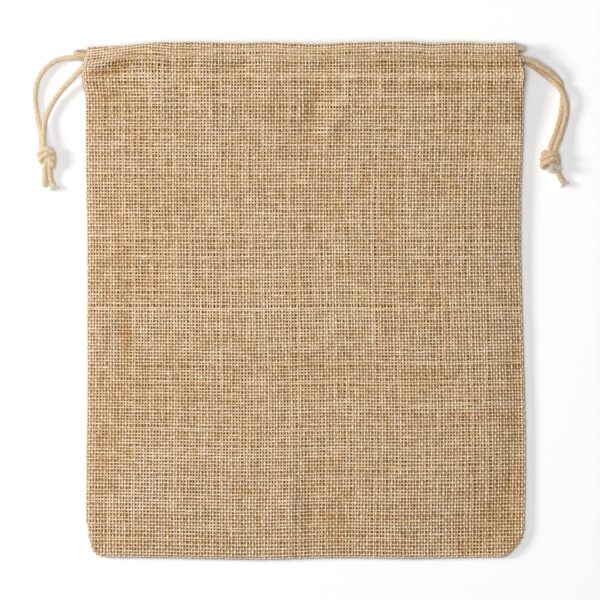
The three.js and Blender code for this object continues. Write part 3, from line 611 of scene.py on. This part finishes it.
def yarn_piece(name, centres, across, normal, width, tone, hidden, over, room, material):
    """A set of yarns side by side, each a closed tube of four corners with one ring at each crossing.
    Where a yarn leaves the outline it ends there, turned in at the seam."""
    yarns, rings = width.shape
    inside = room > 0
    inside[:, 1:-1] |= inside[:, :-2] & inside[:, 2:]
    for near, far in ((slice(None, -1), slice(1, None)), (slice(1, None), slice(None, -1))):
        leaves = inside[:, near] & ~inside[:, far]
        share = np.where(leaves, room[:, near], 0) / np.where(leaves, room[:, near] - room[:, far], 1)
        met = centres[:, near] + (centres[:, far] - centres[:, near]) * share[..., None]
        centres[:, far] = np.where(leaves[..., None], met, centres[:, far])
    wide = across * (width[..., None] / 2)
    deep = normal * (YARN_DEPTH / 2 * np.sqrt(width / width.mean())[..., None])
    corners = np.stack([centres + wide, centres + deep, centres - wide, centres - deep], axis=2)
    corners[..., 2] = np.maximum(corners[..., 2], 0)
    number = np.arange(yarns * rings * YARN_CORNERS).reshape(yarns, rings, YARN_CORNERS)
    spans = inside[:, :-1] | inside[:, 1:]
    onward, back = np.pad(spans, ((0, 0), (0, 1))), np.pad(spans, ((0, 0), (1, 0)))
    yarn, ring = np.nonzero(spans)
    corner = np.arange(YARN_CORNERS)
    k = np.tile(corner, len(yarn))
    yarn, ring = np.repeat(yarn, YARN_CORNERS), np.repeat(ring, YARN_CORNERS)
    after = (k + 1) % YARN_CORNERS
    quads = np.stack([
        number[yarn, ring, k], number[yarn, ring, after],
        number[yarn, ring + 1, after], number[yarn, ring + 1, k],
    ], axis=-1)
    starts, ends = np.nonzero(onward & ~back), np.nonzero(back & ~onward)
    faces = np.vstack([quads, number[starts][:, ::-1], number[ends]])
    kept = np.repeat((onward | back).ravel(), YARN_CORNERS)
    renumbered = np.cumsum(kept) - 1
    # A yarn is a flat bundle of fibres, so its sides are shaded only half turned away from the cloth, and
    # where the cloth turns down at an edge its fibres still stand up into the light.
    outer = normal + EDGE_FUZZ * np.clip(1 - normal[..., 2:], 0, 1) * [0, 0, 1]
    facing = np.stack([across + SIDE_LIFT * outer, outer, SIDE_LIFT * outer - across, -normal], axis=2)
    facing /= np.linalg.norm(facing, axis=3)[..., None]
    crest = over[..., None] * np.array([0, 1, 0, -1])
    shades = {
        "tone": np.repeat(tone.ravel(), YARN_CORNERS),
        "crest": crest.ravel(),
        "hidden": np.tile(hidden, yarns * rings),
    }
    piece = mesh_piece(
        name, corners.reshape(-1, 3)[kept], renumbered[faces].tolist(), material,
        {shade: values[kept] for shade, values in shades.items()}, facing.reshape(-1, 3)[kept].tolist(),
    )
    # Strips side by side for the baked picture, and a map of turn and length for the fibres.
    length = np.cumsum(np.linalg.norm(np.diff(centres, axis=1, prepend=centres[:, :1]), axis=2), axis=1)
    turn = np.vstack([
        np.stack([k, k + 1, k + 1, k], axis=-1),
        np.tile(corner[::-1], (len(starts[0]), 1)), np.tile(corner, (len(ends[0]), 1)),
    ]) / YARN_CORNERS
    row = np.vstack([
        np.stack([ring, ring, ring + 1, ring + 1], axis=-1),
        np.tile(starts[1][:, None], (1, 4)), np.tile(ends[1][:, None], (1, 4)),
    ])
    which = np.concatenate([yarn, starts[0], ends[0]])[:, None].repeat(4, axis=1)
    strip = piece.data.uv_layers.new(name="OFBake")
    bake = np.stack([
        (which + STRIP_SIDE + (1 - 2 * STRIP_SIDE) * turn) / yarns,
        STRIP_END + (1 - 2 * STRIP_END) * row / (rings - 1),
    ], axis=-1)
    strip.data.foreach_set("uv", bake.ravel().astype(np.float32))
    fibre = piece.data.uv_layers.new(name="fibre")
    lay = np.stack([which * FIBRE_SHIFT + turn, length[which, row] * MM], axis=-1)
    fibre.data.foreach_set("uv", lay.ravel().astype(np.float32))
    return piece


def jute_finish(name, dark, middle, light, pale, deep):
    """Raw jute: each yarn has its own tone, with streaks of lighter and darker fibres along it, and is
    painted a deeper brown on its sides and on its face turned into the bag, as shade that falls there."""
    jute = bpy.data.materials.new(name)
    jute.use_nodes = True
    nodes, links = jute.node_tree.nodes, jute.node_tree.links
    shader = set_inputs(nodes["Principled BSDF"], {"Roughness": 0.95, "Specular IOR Level": 0.05})
    lay = nodes.new("ShaderNodeUVMap")
    lay.uv_map = "fibre"
    stretch = nodes.new("ShaderNodeMapping")
    set_inputs(stretch, {"Scale": (6.0, 700.0, 1.0), "Rotation": (0.0, 0.0, 0.35)})
    fibres = set_inputs(nodes.new("ShaderNodeTexNoise"), {"Scale": 1.0, "Detail": 3.0})
    tone = nodes.new("ShaderNodeAttribute")
    tone.attribute_name = "tone"
    mix = set_inputs(nodes.new("ShaderNodeMath"), {1: FIBRE_CONTRAST})
    mix.operation = "MULTIPLY_ADD"
    shift = set_inputs(nodes.new("ShaderNodeMath"), {1: FIBRE_CONTRAST / 2})
    shift.operation = "SUBTRACT"
    ramp = nodes.new("ShaderNodeValToRGB")
    stops = ramp.color_ramp.elements
    stops[0].position, stops[0].color = 0.0, (*dark, 1)
    stops[1].position, stops[1].color = 1.0, (*pale, 1)
    stops.new(0.35).color = (*middle, 1)
    stops.new(0.65).color = (*light, 1)
    crest = nodes.new("ShaderNodeAttribute")
    crest.attribute_name = "crest"
    wave = set_inputs(nodes.new("ShaderNodeMapRange"), {"From Min": -1.0})
    wave.interpolation_type = "SMOOTHSTEP"
    crimp = set_inputs(nodes.new("ShaderNodeBump"), {"Strength": 0.6, "Distance": 2 * YARN_RISE * MM})
    bump = set_inputs(nodes.new("ShaderNodeBump"), {"Strength": 0.3, "Distance": 0.0002})
    links.new(crest.outputs["Fac"], wave.inputs["Value"])
    links.new(wave.outputs["Result"], crimp.inputs["Height"])
    links.new(crimp.outputs["Normal"], bump.inputs["Normal"])
    links.new(lay.outputs["UV"], stretch.inputs["Vector"])
    links.new(stretch.outputs["Vector"], fibres.inputs["Vector"])
    links.new(fibres.outputs["Fac"], mix.inputs[0])
    links.new(tone.outputs["Fac"], mix.inputs[2])
    links.new(mix.outputs[0], shift.inputs[0])
    links.new(shift.outputs[0], ramp.inputs["Fac"])
    # Painted shade: the hidden sides and inner faces are mixed towards the deep brown.
    hidden = nodes.new("ShaderNodeAttribute")
    hidden.attribute_name = "hidden"
    painted_shade_mix = nodes.new("ShaderNodeMix")
    painted_shade_mix.data_type = "RGBA"
    painted_shade_mix.inputs[7].default_value = (*deep, 1)
    links.new(hidden.outputs["Fac"], painted_shade_mix.inputs[0])
    links.new(ramp.outputs["Color"], painted_shade_mix.inputs[6])
    links.new(painted_shade_mix.outputs[2], shader.inputs["Base Color"])
    links.new(fibres.outputs["Fac"], bump.inputs["Height"])
    links.new(bump.outputs["Normal"], shader.inputs["Normal"])
    return jute


# The last colour of each is the deep brown of the painted shade on the yarns' sides and inner faces.
warp_jute = jute_finish(
    "warp_jute", (0.285, 0.147, 0.051), (0.53, 0.357, 0.184), (0.672, 0.548, 0.384), (0.815, 0.762, 0.64),
    (0.455, 0.180, 0.019),
)
weft_jute = jute_finish(
    "weft_jute", (0.325, 0.174, 0.063), (0.61, 0.430, 0.233), (0.785, 0.66, 0.482), (0.90, 0.845, 0.73),
    (0.465, 0.186, 0.021),
)

# Parts of the front that are lighter or darker. Many rows are painted shade in the troughs of the folds and
# in the crease under the left drawstring, painted light on the ridges, and painted shade darkening the right
# side and the bottom right corner; the rest are the jute's own uneven tone in streaks and patches: x, y,
# half length, half width, turn in degrees, tone.
TONE_AND_SHADE_SPOTS = [
    (-22, -11, 75, 11, 1, 0.05), (2, -40, 78, 9, -1, -0.075), (-75, -108, 40, 22, 0, 0.05),
    (-92, -110, 12, 17, 0, 0.08), (18, -118, 17, 4, 92, -0.10), (14, -130, 14, 2.5, 90, -0.10),
    (8, -113, 22, 10, 90, -0.04), (-8.5, -112, 25, 1.6, 90, 0.12), (-101.5, -17, 32, 1.8, 90, -0.22),
    (-105, 24, 10, 6, 0, -0.10), (-111, 114, 9, 7, 0, -0.17), (-89, 124, 9, 6, 0, 0.11),
    (-79, 100, 26, 4, 90, 0.08), (-54, 100, 30, 3.5, 90, 0.10), (-32.5, 50, 30, 1.5, 90, 0.10),
    (-66.5, 134, 5, 2.5, 0, -0.16), (-40, 132.5, 8, 2.2, 0, -0.13), (12, 137, 6, 3, 60, -0.16),
    (4, 106, 24, 4, 86, -0.08), (14, 101, 20, 2.2, 67, 0.09), (-21, 109, 4.5, 4.5, 0, -0.10),
    (46, 133.5, 9, 3, 0, -0.10), (84, 135, 40, 5, 0, -0.11), (116, 135, 6, 5, 0, -0.10),
    (83, 120, 42, 3.5, 0, -0.13), (105, 120, 20, 3.5, 0, -0.06), (49, 62, 34, 2.0, 90, -0.11),
    (59.5, 52, 26, 2.0, 90, 0.13), (71, 3, 10, 3, 90, -0.11), (70, -42, 9, 4, 0, -0.12),
    (100, -28.5, 4, 2, 0, 0.24), (121, -40, 95, 7, 90, -0.08), (104, 10, 150, 20, 90, -0.015),
    (108, -126, 30, 14, 45, -0.13), (-32, -109, 8, 4, 0, -0.11), (-65, -109, 5, 4, 0, -0.09),
    # These first two rows are painted shade in the crease under the left drawstring.
    (-115.5, 128.5, 7.5, 1.5, 5, -0.42), (-105, 132.6, 9, 3.0, 32, -0.40),
    (-110, 126.0, 13, 1.0, 0, 0.15), (-118, 134, 5, 3, 25, 0.06), (-123.2, 137.5, 8.5, 1.4, 84, 0.18),
    (-114, -89, 10, 12, 0, -0.15), (-114, -113, 8, 15, 0, -0.07), (-112, -58, 9, 20, 0, -0.07),
    (102, 87, 12, 10, 0, -0.12), (115, -15, 7, 14, 0, 0.11), (114, 28, 8, 11, 0, 0.09),
    (-86, -14, 13, 10, 0, 0.10), (-85, -102, 7, 8, 0, 0.09), (-34, -67, 9, 20, 0, -0.07),
]

# Yarns that are paler or darker than the rest: x, y, reach along the yarn, tone.
ODD_WARPS = [
    (-20.5, -20, 56, 0.26), (-100.3, -4, 40, -0.12), (87.0, 95, 30, 0.14), (57.3, -80, 10, 0.22),
]
ODD_WEFTS = [
    (-72.0, -88.6, 38, 0.18), (46.0, -74.0, 13, 0.18), (84.0, -94.0, 18, 0.18), (60.0, -112.0, 40, -0.10),
]
ODD_HALF_WIDTH = 0.9

# The left end of the casing, where the drawstring pulls the weft askew: it climbs to the right.
PULL_START = -122.0
PULL_SLOPE = 0.10
PULL_RISE = (125.5, 136.0)
PULL_FADE = (-104.0, -72.0)

# The part near the top right where the cloth is beaten closer, so that fewer holes show.
PATCH_START = (91.0, 71.0)
PATCH_TOP = 102.0
PATCH_EASE = 4.0
PATCH_WIDTH = 0.22  # how much wider its yarns are

# The yarn along each rounded bottom corner: its width and tone, and its run on into the bottom seam.
CORNER_YARN = 1.0
CORNER_TONE, CORNER_UNEVENNESS = 0.42, 0.12
# The corner yarn's painted shade, by corner: side, top, side, underside.
CORNER_PAINTED_SHADE = [0.4, 0.3, 0.4, 0.4]
CORNER_IN = 1.4
CORNER_STEP = 0.25
CORNER_RUN = 12.0
CORNER_RINGS = 30

# How unevenly the yarns are spun and woven. Straying, uneven thickness and tone are each an amount
# and the number of crossings over which it changes.
PANEL_SEEDS = {"back": 11, "front": 7}
OFF_PLACE = 0.075
STRAYS = [(0.07, 28), (0.075, 2.5)]
INSIDE_SEAM = 0.3
OWN_THICKNESS = 0.06
UNEVEN_THICKNESS = (0.14, 2.2)
SLUBS = (0.25, 7)
SLUB_RARITY = 1.6
THICKNESS_LIMITS = (0.65, 1.5)
MEAN_TONE = 0.54
OWN_TONE = 0.038
LONG_TONE = (0.034, 45)
SHORT_TONE = (0.062, 2.0)
CROSSING_TONE = 0.070
# Over-crossings are paler and under-crossings darker: partly wear on the exposed tops, partly painted
# highlight and shade.
WARP_WEAR_AND_PAINTED_LIGHT = 0.36  # how much paler a yarn is where it passes over
WEFT_WEAR_AND_PAINTED_LIGHT = 0.06
NEAR = 0.05  # step along the cloth from which its slope is taken

# Where the yarns are drawn together at the stitch line, more so on the right, and at the side seams, and
# the painted light that lifts the edges where the cloth turns away into the seams and over the casing's
# fold: each an amount and its reach in millimetres.
STITCH_GATHER = (0.24, 1.7)
GATHER_LEFT, GATHER_EASE = 0.3, (-30, 30)
HEM_GATHER = (0.10, 4.5)
SEAM_GATHER = (0.2, 2.5)
SIDE_PAINTED_LIGHT = (0.2, 2.2)
BOTTOM_PAINTED_LIGHT = (0.42, 2.2)
FOLD_PAINTED_LIGHT = (0.25, 3.0)
BACK_SPREAD = 1.72  # how much wider the back's yarns are, pressed flat
# Painted shade on a yarn's two sides, as a deep brown.
SIDE_PAINTED_SHADE = 0.56  # how deep the brown is on a yarn's two sides


def corner_line(front, column, sign):
    """The line of one rounded bottom corner, from the side seam to the bottom seam."""
    side_y = np.arange(CORNER_TOP, BOTTOM, -CORNER_STEP)
    side_x = read_table(OUTLINE, column, side_y) + sign * CORNER_IN
    bottom_y = BOTTOM + CORNER_IN - read_table(BOTTOM_EDGE, 1, side_x)
    stays = side_y > bottom_y
    side_x, side_y = side_x[stays], side_y[stays]
    bottom_x = side_x[-1] + sign * np.arange(CORNER_STEP, CORNER_RUN, CORNER_STEP)
    line = np.stack([
        np.concatenate([side_x, bottom_x]),
        np.concatenate([side_y, BOTTOM + CORNER_IN - read_table(BOTTOM_EDGE, 1, bottom_x)]),
    ], axis=1)
    length = np.concatenate([[0], np.cumsum(np.linalg.norm(np.diff(line, axis=0), axis=1))])
    stations = np.linspace(0, length[-1], CORNER_RINGS)
    x, y = (np.interp(stations, length, line[:, axis]) for axis in (0, 1))
    height = SEAM_HEIGHT + (GAP / 2 + YARN_DEPTH / 2) * (1 if front else -1)
    return np.stack([x, y, np.full(CORNER_RINGS, height)], axis=1)


def woven_panel(side, seed):
    """The warp and the weft of one panel, passing over and under each other."""
    front = side == "front"
    random = np.random.default_rng(seed)
    s = spacing(random, WARPS, CLOTH_WIDTH, OFF_PLACE, WARP_CLOSENESS)[:, None]
    for amount, reach in STRAYS:
        s = s + amount * drift(random, WARPS, WEFTS, reach)
    t = spacing(random, WEFTS, CLOTH_LENGTH, OFF_PLACE, WEFT_CLOSENESS)[:, None]
    for amount, reach in STRAYS:
        t = t + amount * drift(random, WEFTS, WARPS, reach)
    s = np.clip(s, INSIDE_SEAM, CLOTH_WIDTH - INSIDE_SEAM)
    t = np.clip(t.T, INSIDE_SEAM, CLOTH_LENGTH)
    if front:
        x, y, _ = np.moveaxis(cloth_point(front, s, t), -1, 0)
        pulled = eased(y, *PULL_RISE) * (1 - eased(t, FOLD_AT, FLAP_AT)) * (1 - eased(x, *PULL_FADE))
        t = t + PULL_SLOPE * np.maximum(x - PULL_START, 0) * pulled
    place = cloth_point(front, s, t)
    over_s = cloth_point(front, s + NEAR, t) - cloth_point(front, s - NEAR, t)
    over_t = cloth_point(front, s, t + NEAR) - cloth_point(front, s, t - NEAR)
    over_s /= np.linalg.norm(over_s, axis=2)[..., None]
    over_t /= np.linalg.norm(over_t, axis=2)[..., None]
    normal = np.cross(over_s, over_t)
    normal /= np.linalg.norm(normal, axis=2)[..., None]
    over = np.where((np.arange(WARPS)[:, None] + np.arange(WEFTS)[None, :]) % 2, 1.0, -1.0)

    # Thick and thin places, and how light each yarn is.
    def changing(yarns, crossings, amount, reach):
        return amount * drift(random, yarns, crossings, reach)

    def thickness(yarns, crossings):
        own = 1 + OWN_THICKNESS * random.normal(0, 1, (yarns, 1))
        slubs = SLUBS[0] * np.maximum(drift(random, yarns, crossings, SLUBS[1]) - SLUB_RARITY, 0)
        return np.clip(own * (1 + changing(yarns, crossings, *UNEVEN_THICKNESS) + slubs), *THICKNESS_LIMITS)

    def tones(yarns, crossings):
        own = OWN_TONE * random.normal(0, 1, (yarns, 1))
        long = changing(yarns, crossings, *LONG_TONE)
        short = changing(yarns, crossings, *SHORT_TONE)
        single = CROSSING_TONE * random.normal(0, 1, (yarns, crossings))
        return MEAN_TONE + own + long + short + single

    def near(distance, amount, reach):
        return amount * np.exp(-distance / reach)

    def about(distance, amount, reach):
        return amount * np.exp(-(distance / reach) ** 2)

    x, y = place[..., 0], place[..., 1]
    gathered = GATHER_LEFT + (1 - GATHER_LEFT) * eased(x, *GATHER_EASE)
    close = about(t - STITCH_AT, *STITCH_GATHER) * gathered + about(t - STITCH_AT, *HEM_GATHER)
    if front:
        (left, low), high = PATCH_START, PATCH_TOP
        within = eased(x, left, left + PATCH_EASE) * eased(y, low, low + PATCH_EASE)
        close += PATCH_WIDTH * within * (1 - eased(y, high - PATCH_EASE, high))
    from_side = np.minimum(s, CLOTH_WIDTH - s)
    spread = 1.0 if front else BACK_SPREAD
    warp_width = spread * WARP_WIDTH * (thickness(WARPS, WEFTS) + close + near(from_side, *SEAM_GATHER))
    weft_width = spread * WEFT_WIDTH * (thickness(WEFTS, WARPS) + close.T)
    upper = over if front else -over
    # A yarn's sides and its face turned into the bag get painted shade, mixed towards the deep brown.
    outside, inside = (0.0, 1.0) if front else (1.0, 0.0)
    hidden = [SIDE_PAINTED_SHADE, outside, SIDE_PAINTED_SHADE, inside]
    # Painted light along the side seams, the bottom seam and the casing's fold, where the cloth turns away
    # from the lamps.
    painted_edge_light = near(from_side, *SIDE_PAINTED_LIGHT) + near(t, *BOTTOM_PAINTED_LIGHT) + about(t - FOLD_MIDDLE, *FOLD_PAINTED_LIGHT)
    # Paler over-crossings and darker under-crossings, partly wear and partly painted highlight and shade.
    warp_tone = tones(WARPS, WEFTS) + WARP_WEAR_AND_PAINTED_LIGHT * upper + painted_edge_light
    weft_tone = tones(WEFTS, WARPS) - WEFT_WEAR_AND_PAINTED_LIGHT * upper.T + painted_edge_light.T
    if front:
        # Painted shade and light of the folds and the crease, and the jute's own uneven tone, up to the
        # casing's fold.
        tone_and_shade = (t < FOLD_MIDDLE) * soft_spots(TONE_AND_SHADE_SPOTS, x, y)
        warp_tone += tone_and_shade
        weft_tone += tone_and_shade.T
        for odd_x, odd_y, reach, tone in ODD_WARPS:
            warp_tone += tone * np.exp(-((x - odd_x) / ODD_HALF_WIDTH) ** 2 - ((y - odd_y) / reach) ** 4)
        for odd_x, odd_y, reach, tone in ODD_WEFTS:
            weft_tone += tone * np.exp(-((y.T - odd_y) / ODD_HALF_WIDTH) ** 2 - ((x.T - odd_x) / reach) ** 4)
    up = normal * (YARN_RISE * over)[..., None]
    room = outline_room(x, y)
    warp = yarn_piece(
        f"{side}_warp", place + up, -over_s, normal, warp_width, warp_tone, hidden, over, room, warp_jute
    )
    weft = yarn_piece(
        f"{side}_weft", (place - up).transpose(1, 0, 2), over_t.transpose(1, 0, 2), normal.transpose(1, 0, 2),
        weft_width, weft_tone, hidden, -over.T, room.T, weft_jute,
    )

    # The yarn that the seam draws along each rounded bottom corner.
    corners = np.stack([corner_line(front, 1, 1), corner_line(front, 2, -1)])
    along = np.gradient(corners, axis=1)
    along /= np.linalg.norm(along, axis=2)[..., None]
    upright = np.broadcast_to([0, 0, 1.0], corners.shape)
    even = np.ones(corners.shape[:2])
    edge = yarn_piece(
        f"{side}_corner_yarns", corners, np.cross(upright, along), upright, CORNER_YARN * even,
        CORNER_TONE + CORNER_UNEVENNESS * random.normal(0, 1, even.shape), CORNER_PAINTED_SHADE,
        0 * even, even, warp_jute,
    )
    for piece in (warp, weft, edge):
        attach(piece, "root")
        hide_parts(f"{side}_panel")


for side, seed in PANEL_SEEDS.items():
    woven_panel(side, seed)


# Stitches: one row of pale cotton sewing thread along the foot of each casing. It goes through the
# panel and its turned-in hem, and holds the hem down.
THREAD = 0.55
STITCH_PITCH = 3.2
STITCH_SHARE = 0.78  # of the pitch, on the outside of the cloth
STITCH_RISE = 0.62
STITCH_SIDES = 6
STITCH_RINGS = 5
STITCH_LEAN = 0.16  # how far its ends stray from the row
STITCH_BOW = 0.7
STITCH_TIP = 0.04
STITCH_CLEAR = 0.02  # over the table
STITCH_SEEDS = {"back": 5, "front": 3}
FIRST_STITCH = 6.0  # from the side seam
thread = cotton_finish("sewing_thread", (0.50, 0.345, 0.205), (0.72, 0.57, 0.40), (0.76, 0.62, 0.46))


def sewn_row(side, seed):
    """Short threads end to end that rise out of the cloth and dip into it again."""
    front = side == "front"
    random = np.random.default_rng(seed)
    starts = np.arange(FIRST_STITCH, CLOTH_WIDTH - FIRST_STITCH, STITCH_PITCH)
    along = np.linspace(0, 1, STITCH_RINGS)
    s = starts[:, None] + STITCH_PITCH * STITCH_SHARE * along
    lean = random.normal(0, STITCH_LEAN, (len(starts), 2))
    t = STITCH_AT + lean[:, :1] * (1 - along) + lean[:, 1:] * along
    centre = cloth_point(front, s, t)
    outward = np.array([0, 0, 1.0 if front else -1.0])
    centre = centre + outward * (STITCH_RISE * np.sin(math.pi * along) ** STITCH_BOW)[None, :, None]
    angle = 2 * math.pi * np.arange(STITCH_SIDES) / STITCH_SIDES
    round_part = np.sqrt(np.maximum(1 - (2 * along - 1) ** 4, STITCH_TIP)) * THREAD / 2
    ring = np.stack([np.zeros(STITCH_SIDES), np.cos(angle), np.sin(angle)], axis=-1)
    points = centre[:, :, None, :] + ring * round_part[None, :, None, None]
    points[..., 2] = np.maximum(points[..., 2], STITCH_CLEAR)
    piece = mesh_piece(
        f"{side}_stitches", points.reshape(-1, 3), thread_faces(points), thread,
        {"relief": np.zeros(points[..., 0].size)},
    )
    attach(piece, "root")


for side, seed in STITCH_SEEDS.items():
    sewn_row(side, seed)


# Table and light: a plain white surface, one broad soft lamp low on the left, and even fill from
# all round.
TABLE_REACH = 3000.0
corners = [(x * TABLE_REACH * MM, y * TABLE_REACH * MM, 0) for x, y in ((-1, -1), (1, -1), (1, 1), (-1, 1))]
floor_mesh = bpy.data.meshes.new("table_top")
floor_mesh.from_pydata(corners, [], [(0, 1, 2, 3)])
white = bpy.data.materials.new("white_table")
white.use_nodes = True
set_inputs(white.node_tree.nodes["Principled BSDF"], {"Base Color": (0.80, 0.80, 0.80, 1), "Roughness": 0.9})
floor_mesh.materials.append(white)
floor = bpy.data.objects.new("table_top", floor_mesh)
bpy.context.scene.collection.objects.link(floor)

# The lamps, in metres: name, place, size of the square, power in watts.
LAMPS = [
    ("key_lamp", (-2.64, 0.40, 1.52), 0.8, 68.0),
    ("overhead_lamp", (-0.15, 0.16, 1.9), 0.8, 28.5),
]
for name, place, size, power in LAMPS:
    lamp_data = bpy.data.lights.new(name, "AREA")
    lamp_data.shape = "SQUARE"
    lamp_data.size = size
    lamp_data.energy = power
    lamp = bpy.data.objects.new(name, lamp_data)
    lamp.location = place
    lamp.rotation_euler = (-lamp.location).to_track_quat("-Z", "Y").to_euler()
    lamp.visible_camera = False
    bpy.context.scene.collection.objects.link(lamp)

world = bpy.data.worlds.new("studio_fill")
world.use_nodes = True
set_inputs(world.node_tree.nodes["Background"], {"Color": (1, 1, 1, 1), "Strength": 0.18})
bpy.context.scene.world = world
bpy.context.scene.view_settings.view_transform = "Standard"
